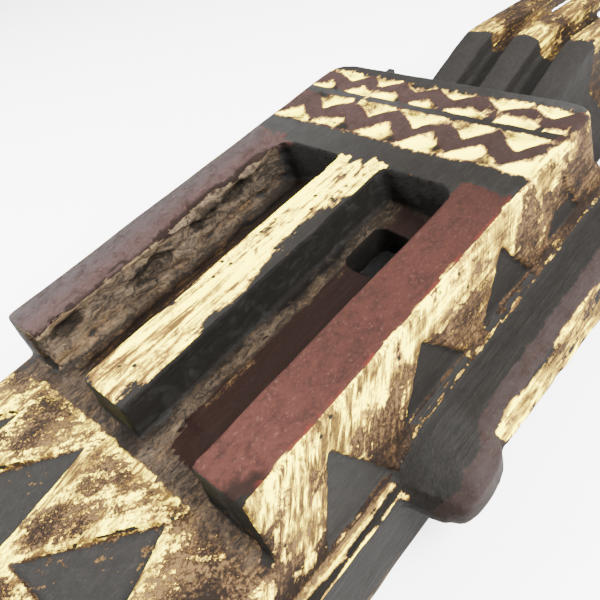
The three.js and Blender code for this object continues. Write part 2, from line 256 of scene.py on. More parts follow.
def neighbour_mean(mesh):
    """A function that gives each vertex the mean of a value at its neighbours."""
    flat = np.empty(len(mesh.edges) * 2, np.int64)
    mesh.edges.foreach_get("vertices", flat)
    a, b = flat.reshape(-1, 2).T
    count = len(mesh.vertices)
    around = np.maximum(np.bincount(a, minlength=count) + np.bincount(b, minlength=count), 1)

    def mean(value):
        total = np.bincount(a, value[b], count) + np.bincount(b, value[a], count)
        return total / around

    return mean


def smoothed(points, mean, rounds):
    """Each round takes every point half of the way to the mean of its neighbours."""
    for _ in range(rounds):
        points = points + 0.5 * (np.stack([mean(axis) for axis in points.T], axis=1) - points)
    return points


def with_modifier(mesh, kind, **settings):
    """The mesh after one modifier."""
    holder = bpy.data.objects.new("holder", mesh)
    bpy.context.collection.objects.link(holder)
    modifier = holder.modifiers.new(kind, kind)
    for key, value in settings.items():
        setattr(modifier, key, value)
    shown = holder.evaluated_get(bpy.context.evaluated_depsgraph_get())
    result = bpy.data.meshes.new_from_object(shown)
    bpy.data.objects.remove(holder)
    return result


def gouged(y, z):
    """1 in the middle of each broken place in the left channel's wall, 0 or less outside them."""
    return np.maximum.reduce([
        1 - ((y - along) / half) ** 2 - ((z - high) / GOUGE_HALF_HEIGHT) ** 2
        for along, high, half in GOUGES
    ])


def cut_depth(p, normal, convex):
    """How far each point lies below the plain solid's surface, in millimetres."""
    x, y, z = p.T
    side = ramp(np.abs(normal[:, 0]), 0.5, 0.8)
    uneven = 0.25 * (1 + noise(p, 34, 1)) + 0.11 * (1 + noise(p, 11, 2))
    strokes = 0.22 * (1 + noise(p, (9, 7, 40), 3)) * side
    strokes += 0.14 * (1 + noise(p, (5, 42, 5), 4)) * (1 - side)
    worn = np.clip(convex, 0, 1.5) * (0.25 + 0.5 * np.clip(noise(p, 9, 5) + 0.3, 0, 1))
    splinters = np.clip(convex, 0, 1) * np.clip(noise(p, (4, 11, 4), 6) - 0.25, 0, 1) * 1.6
    left_wall = both(span(x, -56, -42), z - FLOOR_Z + 6, CHANNEL_TOP - 2 - y, y + 5)
    near_floor = both(span(x, -47, 47), span(y, CHIN_EDGE - 3, 16), span(z, CHANNEL_LOW_Z, FLOOR_Z + 1.5))
    rough = ramp(either(left_wall, near_floor), -1, 2)
    gouges = rough * (0.6 * (1 + noise(p, (5, 15, 6), 7)) + 0.6 * (1 + noise(p, (2.6, 5, 3), 8)))
    crags = 1.5 * (1 - 1.6 * np.abs(noise(p, (7, 13, 6), 12)))
    crags += 2.2 * np.clip(gouged(y, z) + 0.3 * noise(p, 4, 11), 0, 1)
    gouges += ramp(left_wall, -1, 1) * ramp(FRONT_Z - 2 - z, 0, 4) * crags
    return uneven + strokes + worn + splinters + gouges


def worn_rail(p):
    """The points, with the left bar's inner edge worn to a ragged slope that is deepest at its lower end."""
    x, y, z = p.T
    along = p * (0, 1, 0)
    width = 2.2 + 4 * ramp(-y, -10, 2) + 3 * ramp(y, 50, 90) + 1.3 * noise(along, 13, 9)
    width += 0.9 * noise(along, 5, 10)
    into_edge = np.clip(width.clip(0.5, 12) + RAIL_INNER_X + x, 0, 12)
    slope = FRONT_Z - 0.75 * into_edge * ramp(CHANNEL_TOP - 3 - y, 0, 18)
    on_rail = (span(x, -64, -40) > 0) & (z > FLOOR_Z + 2)
    return np.stack((x, y, np.where(on_rail, np.minimum(z, slope), z)), axis=1)


def carved_mesh(node):
    """A fine mesh of a node's solid, cut inwards from it and kept inside its box."""
    mesh = with_modifier(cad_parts[node].data.copy(), "REMESH", mode="VOXEL", voxel_size=VOXEL)
    mean = neighbour_mean(mesh)
    points = smoothed(read_points(mesh), mean, 1)
    write_points(mesh, points)
    normal = read_normals(mesh)
    bulge = np.sum((points - smoothed(points, mean, 5)) * normal, axis=1) / MM
    p = worn_rail(in_mm(points))
    p -= normal * cut_depth(p, normal, bulge)[:, None]
    low, high = cad_box
    write_points(mesh, np.clip(in_metres(p), np.array(low), np.array(high)))
    store(mesh, "bulge", bulge)
    triangles = 2 * len(mesh.polygons)
    return with_modifier(mesh, "DECIMATE", ratio=min(1, MAX_TRIANGLES / triangles))


def store(mesh, name, values):
    layer = mesh.attributes.get(name) or mesh.attributes.new(name, "FLOAT", "POINT")
    layer.data.foreach_set("value", values.astype(np.float32))


def fetch(mesh, name):
    values = np.empty(len(mesh.vertices), np.float32)
    mesh.attributes[name].data.foreach_get("value", values)
    return values.astype(float)


# The paint: each layer's cover over the surface, as numbers on the fine mesh's vertices.
# A cover near 1 is whole paint, near 0.5 is half worn away, and 0 or less is bare.


def cover(distance, amount, blur=3):
    """The cover of a patch with the given distance inside its outline; it thins out at the edge."""
    return np.minimum(0.5 + distance / blur, amount)


def layered(values, layers):
    """The values, replaced by each layer's own wherever its distance is above 0."""
    for distance, value in layers:
        values = np.where(distance > 0, value, values)
    return values


def facing(component):
    """Above 0 where the surface faces one way, by a component of its normal; it reads as a distance."""
    return (component - 0.5) * 12


def crest_height(y):
    rising = NECK_Z + (y - FACE_TOP) * (BEND_Z - NECK_Z) / (BEND_Y - FACE_TOP)
    falling = BEND_Z - (y - BEND_Y) * (BEND_Z - PRONG_END_Z) / (PRONG_END_Y - BEND_Y)
    return np.where(y < BEND_Y, rising, falling)


def zigzag_chips(x, y, row):
    """The chips cut on both sides of a row's zigzag: the distance inside them, and how shaded they are."""
    rise = (row["high"] - row["low"] - ZIGZAG_THICKNESS) * CHIP_RISE
    bends = row["bends"]
    distance = np.full(len(x), -np.inf)
    shaded = np.zeros(len(x))
    for i, bend in enumerate(bends):
        before = bends[i - 1] if i > 0 else bend - END_STEP
        after = bends[i + 1] if i + 1 < len(bends) else bend + END_STEP
        half = CHIP_HALF * (after - before)
        faces_chin = i % 2 == 1
        base, apex = (row["high"], row["high"] - rise) if faces_chin else (row["low"], row["low"] + rise)
        start = max(bend - half, -ROW_END_X)
        end = min(bend + half, ROW_END_X)
        chip = inside(x, y, ((start, base), (end, base), (bend, apex)))
        depth = (y - apex) / (base - apex)
        aside = (x - bend) / half
        shade = ramp(depth - 0.5 * aside, 0.45, 1.1) if faces_chin else ramp(aside + 0.3 * depth, 0.1, 0.8)
        shaded = np.where(chip > -1, shade, shaded)
        distance = np.maximum(distance, chip)
    return distance, shaded


def side_triangles(y, z):
    distance = np.full(len(y), -np.inf)
    for low, apex, high, base in SIDE_TRIANGLES:
        distance = np.maximum(distance, inside(y, z, ((low, base), (high, base), (apex, SIDE_APEX_Z))))
    return distance


def zones(p, normal):
    """The distance inside each painted or worn zone of the carving, by name."""
    x, y, z = p.T
    ax = np.abs(x)
    up = facing(normal[:, 2])
    outward = facing(np.abs(normal[:, 0]))
    side_x = HALF_FRONT + (FRONT_Z - z) * SIDE_SLOPE
    ragged = noise(p, 7, 20)
    zone = {}

    zone["front"] = front = both(z - FRONT_Z + 4.5, up, span(y, -3, FACE_TOP + 1), HALF_FRONT + 1.5 - ax)
    lap = 2.5 + 6 * ramp(np.abs(y - LAP_MIDDLE_Y), 40, 22) + 1.5 * ragged
    on_wall = both(z - FRONT_Z + lap, span(x, -RAIL_INNER_X - 1, -40), span(y, -2, CHANNEL_TOP))
    zone["rails"] = either(both(front, ax - RAIL_INNER_X + 1, RAILS_TOP + ragged - y), on_wall)
    zone["nose"] = both(front, NOSE_HALF + 0.8 - ax, 3 * (NOSE_TOP + 0.4 * ragged - y))
    zone["rows"] = both(front, y - ROWS_START, ROWS_END - y)
    low_chips, low_shade = zigzag_chips(x, y, LOW_ROW)
    high_chips, high_shade = zigzag_chips(x, y, HIGH_ROW)
    zone["line"] = both(zone["rows"], span(y, *LINE_Y), LINE_END_X - x)
    zone["chips"] = both(either(low_chips, high_chips) + CHIP_SPREAD, -2 * zone["line"])
    zone["chip_shade"] = np.where(low_chips > high_chips, low_shade, high_shade)

    side = both(z - LEDGE_Z - 1, outward + 2, side_x + 1.8 - ax, ax - side_x + 4, FACE_TOP + 1 - y)
    side = both(side, FRONT_Z + 0.5 - z)
    zone["triangles"] = both(side, side_triangles(y, z) - 0.3)
    zone["side"] = both(side, -zone["triangles"])
    at_ledge = span(z, LEDGE_Z - 4, LEDGE_Z + 3)
    zone["ledge"] = both(at_ledge, span(ax, *LEDGE_X), EAR_LOW_Y + 3 - y, up + 4)
    zone["lower_wall"] = both(LEDGE_Z + 0.5 - z, ax - HOLLOW_HALF)

    shaft = both(ax - EAR_INNER_X, z - EAR_LOW_Z)
    beside_box = both(z - LEDGE_Z, ax - side_x - 1.2)
    zone["ear"] = ear = both(y - EAR_LOW_Y + 1, either(shaft, beside_box))
    zone["knob"] = both(ear, KNOB_END_Y + 2 - y)
    ridge_x = EAR_RIDGE_X + 7.5 * ramp(np.abs(y - KNOB_MIDDLE_Y), 18, 8)
    bevel = both(ear, ax - ridge_x + 0.5)
    zone["ear_bevel"] = both(bevel, either(zone["knob"], EAR_SHOULDER_X + 0.5 - ax))
    inner_edge = EAR_SHOULDER_X + 0.8 + 0.9 * noise(p, 5, 25)
    outer_edge = EAR_OUTER_X - 1.4 + 0.7 * noise(p, (5, 14, 5), 29)
    past_knob = y - KNOB_END_Y - 1.5 - noise(p, 5, 30)
    zone["ear_outside"] = both(ear, span(ax, inner_edge, outer_edge), up + 8, past_knob)
    zone["ear_end"] = both(ear, 7 - up - 12 * ramp(z, 44, 40), KNOB_MIDDLE_Y - 14 - y)
    zone["bead"] = both(ear, BEAD_OUTER_X - ax, y - BEAD_LOW_Y, FACE_TOP - y)
    zone["bead_line"] = both(zone["bead"], 0.8 + 0.5 * noise(p, (3, 12, 3), 31) - np.abs(ax - BEAD_X))

    chin = both(CHIN_EDGE + 1.5 - y, z - CHIN_LOW_Z, up + 3)
    triangles = np.maximum.reduce([inside(x, y, corners) for corners in CHIN_TRIANGLES])
    zone["chin_triangles"] = both(chin, triangles)
    zone["chin"] = both(chin, -triangles)

    channel = both(RAIL_INNER_X + 0.8 + 22 * ramp(-y, 0, 1) - ax, span(y, CHIN_EDGE, CHANNEL_TOP + 1))
    channel = both(channel, FRONT_Z - 0.8 - z, z - CHANNEL_LOW_Z)
    zone["floor"] = both(channel, FLOOR_Z + 2 - z, up)
    worn_edge = both(FRONT_Z - 1.8 - z, span(x, -64, -42), span(y, -4, CHANNEL_TOP - 4), z - FLOOR_Z - 1)
    left_wall = both(channel, 3 - up, -RAIL_INNER_X + 9 - x, span(y, -6, CHANNEL_TOP - 6))
    zone["left_wall"] = either(left_wall, worn_edge)
    zone["wall"] = both(channel, -up, -zone["left_wall"])
    zone["end_wall"] = both(zone["wall"], y - CHANNEL_TOP + 4)
    at_bar_ends = both(facing(-normal[:, 1]), span(y, -4, 3), 74 - ax)
    zone["bar_ends"] = both(at_bar_ends, z - FLOOR_Z - 0.5, FRONT_Z - 0.5 - z)
    zone["eye"] = both(span(ax, *EYE_X), span(y, *EYE_Y), 66 - z)

    zone["crest"] = crest = both(y - FACE_TOP - 1.5, CREST_HALF - ax)
    rib = np.minimum.reduce([np.abs(x - i * RIB_PITCH) for i in (-1, 0, 1)])
    zone["rib_top"] = both(crest, z - crest_height(y) + 6, RIB_HALF + 1 - rib)
    zone["groove"] = both(crest, rib - RIB_HALF, crest_height(y) - 3 - z)
    zone["bare_crest"] = both(crest, y - BEND_Y - 2 - 4 * noise(p, 8, 22))

    ceiling = np.where(y < CHANNEL_TOP + 3, FACE_HOLLOW_Z + 0.25 * np.minimum(y, 0), BROW_HOLLOW_Z)
    hollow = both(HOLLOW_HALF - ax, span(y, *HOLLOW_Y), ceiling - z)
    zone["hidden"] = either(hollow, -(normal[:, 2] + 0.6) * 10)
    return zone


def paint(mesh):
    """Stores what the material reads: each paint's cover, and the other values, as vertex attributes."""
    p = in_mm(read_points(mesh))
    bulge = fetch(mesh, "bulge")
    worn = np.clip(bulge, 0, 1.5)
    x, y, z = p.T
    ax = np.abs(x)
    along = p * (0, 1, 0)
    zone = zones(p, read_normals(mesh))
    patchy = noise(p, (14, 30, 14), 23)
    blotchy = noise(p, (6, 11, 6), 26)

    # Grey-black paint
    dark = np.maximum.reduce((
        np.full(len(x), 0.62),
        cover(zone["front"], 1.1) - 0.2 * worn,
        cover(zone["triangles"], 0.95 + 0.2 * blotchy, 2),
        cover(zone["chin_triangles"], 0.72 + 0.25 * patchy + 0.15 * blotchy, 2),
        cover(zone["ear"], 1.0) - 0.25 * worn,
        cover(zone["crest"], 1.0) - 0.15 * worn,
        cover(either(zone["wall"], zone["bar_ends"]), 1.1),
    ))
    dark = layered(dark, (
        (zone["bare_crest"], 0.3 + 0.15 * patchy),
        (zone["bead"], 0.85 + 0.1 * blotchy),
        (zone["left_wall"], 0.2 + 0.25 * blotchy),
        (zone["floor"], 0.3),
        (zone["ear_outside"], 0.35),
        (zone["side"], 0.3),
        (zone["chin"], 0.2),
        (zone["nose"], 0.75),
        (zone["ledge"], 0.3),
        (zone["hidden"], 0.1),
        (zone["lower_wall"], 0.95 - 0.6 * ramp(-z, -7, -2) - 0.4 * worn),
    ))

    # Red paint, and how mauve it is
    zigzag = both(zone["rows"], CHIP_SPREAD - zone["chips"], -zone["line"])
    far_floor = both(zone["floor"], x - NOSE_HALF - 8, CHANNEL_TOP - 1 - y, y - 4)
    corner = CORNER_RADIUS - np.hypot(x - CORNER[0], y - CORNER[1])
    on_rails = cover(zone["rails"], 1.05, 2) - 0.2 * worn - 0.7 * ramp(corner, 0, 5)
    on_rails -= 0.45 * ramp(zone["left_wall"], -0.5, 1)
    red = np.maximum.reduce((
        on_rails,
        cover(zigzag, 1.0, 2) - 0.1 * worn,
        cover(far_floor, 0.95, 9),
        cover(both(zone["ear_bevel"], -zone["ear_end"]), 0.8, 4),
    ))
    red = np.where(zone["hidden"] > 0, -1, red)
    mauve = np.maximum.reduce((
        ramp(both(zone["rails"], -x), -1, 1) * (0.55 + 0.45 * ramp(-x, 55, 68)),
        ramp(zone["ear"], 0, 2) * 0.8,
        ramp(zigzag, 0, 1) * 0.5,
    ))

    # How light the dark and red paints are: their own tone in places, painted sheen and painted shade in
    # others
    on_ear = 0.22 + 0.25 * ramp(zone["knob"], 0, 6) - 0.3 * ramp(zone["ear_end"], -1, 1)
    tone_and_painted_light = layered(np.full(len(x), 0.5), (
        # Painted sheen: the dark paint on the front is lighter towards the left
        (zone["front"], 0.9 - 0.75 * ramp(x, -70, 20)),
        (both(zone["rails"], x), 0.92 - 0.3 * ramp(y, 20, 60) - 0.22 * ramp(y, 110, 150)),
        # Painted sheen: the left bar is lighter towards its lower end
        (both(zone["rails"], -x), 0.9 - 0.1 * ramp(y, 10, 60)),
        (zigzag, 0.5 - 0.3 * ramp(x, -30, 50)),
        (both(zone["front"], y - ROWS_END), 0.3 + 0.5 * ramp(x, 20, 60)),
        (zone["line"], 0.12 + 0.8 * ramp(-x, -30, 20)),
        # Painted shade: the side triangles beyond the first are darker
        (zone["triangles"], 0.5 - 0.4 * ramp(y, 40, 65)),
        # Painted sheen on the ears' knobs; the ears' near ends are darker
        (zone["ear"], on_ear),
        (zone["ear_bevel"], 0.33),
        (zone["crest"], 0.27),
        # The right channel's floor beside the right bar in the darkest red, partly painted shade under that
        # bar
        (far_floor + 6, 0),
        (zone["chin_triangles"], 0.45),
        (zone["lower_wall"], 0.05),
        (either(zone["left_wall"], corner + 3), 0),
    ))

    # How pale bare wood is; paler in the strip beside the nose, partly a painted pool of light
    strip = both(zone["floor"], STRIP_X + 2 * noise(along, 9, 34) - x, x - NOSE_HALF)
    on_chin = 0.55 + 0.25 * blotchy + 0.25 * patchy + 0.08 * ramp(x, 38, 50)
    on_wall = 0.55 + 0.35 * ramp(z, 80, 86) + 0.3 * ramp(y, 50, 20) * ramp(z, 76, 71)
    on_wall -= 0.25 * ramp(y, 100, 140)
    on_floor = 0.37 + 0.15 * blotchy - 0.2 * ramp(y, 80, 135) + 0.1 * ramp(y, 8, -2)
    on_floor += 0.1 * ramp(strip, -1, 1)
    pale = layered(np.full(len(x), 0.45), (
        (either(zone["chin"], zone["bare_crest"]), on_chin),
        (zone["side"], 0.68 - 0.4 * ramp(-z, -60, -48) + 0.25 * blotchy),
        (zone["wall"], 0),
        (zone["left_wall"], on_wall),
        (zone["floor"], on_floor),
        (zone["ledge"], 0.9),
    ))

    # Cream paint
    lapped = 1.5 + 3.0 * noise(p, (40, 9, 40), 24) + 1.4 * noise(p, (40, 3, 40), 37)
    wrap = both(zone["front"], x - HALF_FRONT + lapped, y - 4)
    low_side = ramp(-z, -58, -53) * ramp(y, 40, 55)
    smears = noise(np.stack((x, y - z * math.tan(SIDE_LEAN), z), axis=1), (9, 7, 17), 36)
    side_cream = 0.53 - 0.2 * low_side + 0.2 * patchy + 0.42 * smears - 0.28 * ramp(y, 168, 190)
    below_edge = ramp(-z, -71, -65) * ramp(y, 30, 48)
    side_cream += 0.26 * ramp(z, 71, 79) + 0.12 * ramp(y, 34, 22) - 0.17 * below_edge
    side_cream -= 0.5 * ramp(-z, -47, -44) * ramp(np.abs(y - 50), 12, 6)
    chipped = ramp(np.abs(y - NOSE_CHIPS_Y), 24, 8)
    near_edge = ramp((NOSE_HALF + 0.8 - ax) / (1 + 0.5 * chipped), 7, 1)
    near_edge *= np.where(x > 0, 1, 0.8 * ramp(y, 75, 100))
    near_edge *= ramp(-y, -149, -132)
    edge_flakes = np.clip(noise(p, (5, 15, 5), 27) + 0.05 + 0.5 * chipped, 0, 1) * near_edge
    near_corner = ramp(-x, 6, 12) * ramp(-y, -7, 0)
    nose_cream = 0.9 + 0.16 * patchy + 0.16 * blotchy - 0.3 * worn - 2.2 * edge_flakes - 0.6 * near_corner
    # The cream in the chips thins on their shaded sides, a painted shade
    chip_cream = 1.0 + 0.14 * patchy + 0.1 * blotchy - 0.36 * zone["chip_shade"]
    edge_lines = either(*(span(y, *edge) for edge in ROW_EDGES))
    lean = np.array((math.cos(CHIN_LEAN), math.sin(CHIN_LEAN)))
    leaning = np.stack((x * lean[0] - y * lean[1], x * lean[1] + y * lean[0], z), axis=1)
    chin_cream = 0.45 + 0.46 * noise(leaning, (8, 24, 9), 32) + 0.14 * blotchy
    chin_cream += 0.4 * ramp(zone["chin"], 5.5, 0)
    chin_cream -= 0.16 * ramp(x, 38, 60) * ramp(y, -40, -20)
    ear_cream = 0.86 + 0.16 * blotchy + 0.1 * patchy - 0.24 * ramp(y, 95, 122)
    at_bend = ramp(np.abs(y - BEND_Y - 8), 18, 4) * ramp(zone["rib_top"], -1, 2)
    crest_cream = 0.34 + 0.2 * patchy + 0.12 * blotchy + 0.42 * at_bend + 0.26 * ramp(ax, 12, 8)
    ledge_lines = either(span(ax, *INNER_LEDGE_LINE), span(ax, *OUTER_LEDGE_LINE) - 0.4 * blotchy)
    cream = np.maximum.reduce((
        cover(zone["nose"], nose_cream),
        cover(zone["side"] - 0.2, side_cream, 1.5),
        cover(wrap, 0.9, 2),
        cover(both(zone["rows"], zone["chips"]), chip_cream, 4.5),
        cover(both(zone["rows"], edge_lines), 0.6 + 0.3 * patchy, 2),
        cover(zone["chin"] - 0.2, chin_cream, 1.6),
        cover(zone["ear_outside"] + 0.6, ear_cream, 1.5),
        cover(zone["bare_crest"], crest_cream, 2),
        cover(both(zone["ledge"], ledge_lines), 0.85 + 0.35 * blotchy, 1.4),
        cover(zone["bead_line"], 0.48 + 0.12 * blotchy, 1),
    ))
    cream = np.where(zone["hidden"] > 0, -1, cream)

    # How much the cream paint is stained, and how golden it is
    stained = layered(np.full(len(x), 0.5), (
        (zone["nose"], 0.64 - 0.4 * ramp(y, 40, 70)),
        (zone["rows"], 0),
        (zone["side"], 0.5 + 0.7 * noise(p, (9, 9, 15), 38)),
        (either(zone["bare_crest"], zone["ear_outside"]), 0.8),
    ))
    golden = 0.4 + 0.5 * ramp(either(zone["side"], zone["ear_outside"]), -1, 1)
    golden -= 0.3 * ramp(zone["rows"], -1, 1)
    golden += 0.25 * ramp(either(zone["chin"], zone["bare_crest"]), -1, 1)

    # Soot, black paint and painted shade in the deep places
    # The channel walls darkened: black paint and painted shade
    black_wall = np.maximum(0.85 * ramp(zone["wall"], 0, 1.5), 0.6 * ramp(zone["bar_ends"], 1, 2.5))
    black_wall *= 1 - 0.45 * ramp(zone["end_wall"], 0, 3)
    # A painted shadow along the nose's foot on the right channel's floor; the floors also get painted shade
    # towards their far ends
    foot = both(zone["floor"], NOSE_HALF + 2 + 2.5 * noise(along, 15, 28) - x, x)
    deep_floor = ramp(zone["floor"], 0, 2) * (0.05 + 0.4 * ramp(y, 20, 130)) + 0.8 * ramp(foot, -1, 1.5)
    # Painted shade in the gouges of the left wall, which also darkens towards its far end
    crag = gouged(y, z) + 0.5 * noise(p, (4, 6, 3), 33)
    inside_wall = np.maximum(0.2 * ramp(y, 95, 140), 0.82 * ramp(crag, -0.1, 0.2))
    soot_and_painted_shade = np.maximum.reduce((
        black_wall,
        deep_floor,
        # Painted shade in creases and in the grooves between the ribs
        0.35 * ramp(-bulge, 0.3, 1.3),
        0.25 * ramp(zone["groove"], 0, 2),
        inside_wall * ramp(zone["left_wall"], 0, 2),
        0.75 * zone["chip_shade"] * ramp(both(zone["rows"], zone["chips"]), 0, 1.5),
        # Darker inside the hollow and on faces that turn down
        0.4 * ramp(zone["hidden"], 0, 3),
        # Painted shade filling the eye holes
        ramp(zone["eye"], 0, 1),
    ))

    # Where the surface is rough and sandy, where its cream is even, where its red is bright, and where
    # its streaks run down the sides or lean over the chin
    sandy = ramp(zone["floor"], 0, 2) * np.maximum(0.5 * ramp(-y, -14, -4), 0.7 * ramp(strip, -0.5, 1.5))
    craggy = ramp(zone["left_wall"], -1, 2) + sandy
    even = ramp(either(zone["rows"], both(zone["nose"], (y - 145) / 3)), -1, 1)
    dabs = ramp(both(zone["front"], x - 69.5, y - 8, 150 - y), -0.5, 1.5)
    across = ramp(zone["side"], -1, 2) * (1 - 0.6 * ramp(y, 60, 90))
    slant = ramp(either(zone["chin"], zone["chin_triangles"]), -1, 2)

    attributes = {
        "craggy": craggy, "pale": pale, "stained": stained, "golden": golden, "even": even, "dabs": dabs,
        "dark": dark, "red": red, "mauve": mauve, "tone_and_painted_light": tone_and_painted_light, "cream": cream, "soot_and_painted_shade": soot_and_painted_shade,
        "across": across, "slant": slant,
    }
    for name, values in attributes.items():
        store(mesh, name, values)


# The material: worn paint over wood. Colours are linear. A pair holds a colour's dark and light ends. In
# stages, each colour comes in over the given range of the value that they follow.

WOOD = (0.0062, 0.0038, 0.0025)
WOOD_STAGES = (
    (0.44, 0.53, (0.0190, 0.0108, 0.0056)),
    (0.54, 0.60, (0.044, 0.0240, 0.0098)),
    (0.60, 0.66, (0.086, 0.0520, 0.0200)),
)
# Rough wood: dark in low crags and light on raised ones, partly a painted highlight and shade
CRAG = (0.0185, 0.0155, 0.0118)
CRAG_STAGES = (
    (0.42, 0.50, (0.060, 0.0440, 0.0305)),
    (0.54, 0.66, (0.140, 0.098, 0.056)),
)
CREAM = (0.036, 0.022, 0.0095)
CREAM_STAGES = (
    (0.0, 0.10, (0.092, 0.056, 0.0190)),
    (0.09, 0.18, (0.21, 0.126, 0.018)),
    (0.15, 0.26, (0.56, 0.42, 0.014)),
    (0.22, 0.37, (0.98, 0.84, 0.012)),
)
# Each pair's ends mix by tone_and_painted_light, so in places they are lit and shaded copies of one paint
BLACK = ((0.0048, 0.0040, 0.0032), (0.0180, 0.0174, 0.0165))
SCRATCHED_BLACK = ((0.0092, 0.0083, 0.0071), (0.0270, 0.0263, 0.0252))
RED = ((0.0082, 0.0036, 0.0026), (0.0362, 0.0124, 0.0093))
MAUVE = ((0.0090, 0.0068, 0.0056), (0.031, 0.0265, 0.0265))
DULL_RED = (0.0150, 0.0075, 0.0058)
BRIGHT_RED = (0.075, 0.0125, 0.0085)
RED_SPECK = (0.075, 0.038, 0.027)
HONEY = ((0.12, 0.069, 0.0125), (0.33, 0.225, 0.0160))
LIGHT_STAIN = (0.170, 0.083, 0.0150)
DARK_STAIN = (0.045, 0.027, 0.0095)
DEEP_STAIN = (0.0250, 0.0134, 0.0060)
BLACK_SPECK = (0.0080, 0.0067, 0.0054)
# Black for soot, and for the painted shade in the deep places
SOOT_AND_SHADE = (0.0022, 0.0018, 0.0014)

SPECK_PITCH = 6 * MM
RELIEF = 0.45 * MM
RELIEF_STRENGTH = 0.9
SPECULAR = 0.05


def add_node(tree, kind, settings=None, **inputs):
    """A node with its settings; an input is a plain value, or a socket to link. Names use _ for spaces."""
    node = tree.nodes.new(kind)
    for key, value in (settings or {}).items():
        setattr(node, key, value)
    for key, value in inputs.items():
        socket = node.inputs[int(key[1:])] if key[1:].isdigit() else node.inputs[key.replace("_", " ")]
        if isinstance(value, bpy.types.NodeSocket):
            tree.links.new(value, socket)
        else:
            socket.default_value = value
    return node


def calc(tree, operation, a, b):
    return add_node(tree, "ShaderNodeMath", {"operation": operation}, i0=a, i1=b).outputs[0]


def mixed(tree, factor, a, b):
    """A mix of two colours, each one a socket or a plain value."""
    node = add_node(tree, "ShaderNodeMix", {"data_type": "RGBA", "clamp_factor": True}, i0=factor)
    for socket, value in ((node.inputs[6], a), (node.inputs[7], b)):
        if isinstance(value, bpy.types.NodeSocket):
            tree.links.new(value, socket)
        else:
            socket.default_value = (*value, 1)
    return node.outputs[2]


def staged(tree, value, colour, stages):
    for low, high, next_colour in stages:
        colour = mixed(tree, step(tree, value, low, high), colour, next_colour)
    return colour


def stretched(tree, position, x, y, z):
    """Coordinates in lumps of the given size in millimetres along each axis."""
    scale = (1 / (x * MM), 1 / (y * MM), 1 / (z * MM))
    settings = {"operation": "MULTIPLY"}
    return add_node(tree, "ShaderNodeVectorMath", settings, i0=position, i1=scale).outputs[0]


def lumps(tree, vector, detail=3.0, roughness=0.55, distortion=0.0):
    node = add_node(tree, "ShaderNodeTexNoise", None, Vector=vector, Scale=1.0, Detail=detail,
                    Roughness=roughness, Distortion=distortion)
    return node.outputs["Fac"]


def step(tree, value, low, high):
    node = add_node(tree, "ShaderNodeMapRange", {"clamp": True}, Value=value, From_Min=low, From_Max=high)
    return node.outputs[0]


def empty_material(name):
    material = bpy.data.materials.new(name)
    material.use_nodes = True
    material.node_tree.nodes.clear()
    return material


def add_surface(tree, **inputs):
    shader = add_node(tree, "ShaderNodeBsdfPrincipled", None, **inputs)
    output = add_node(tree, "ShaderNodeOutputMaterial")
    tree.links.new(shader.outputs[0], output.inputs["Surface"])


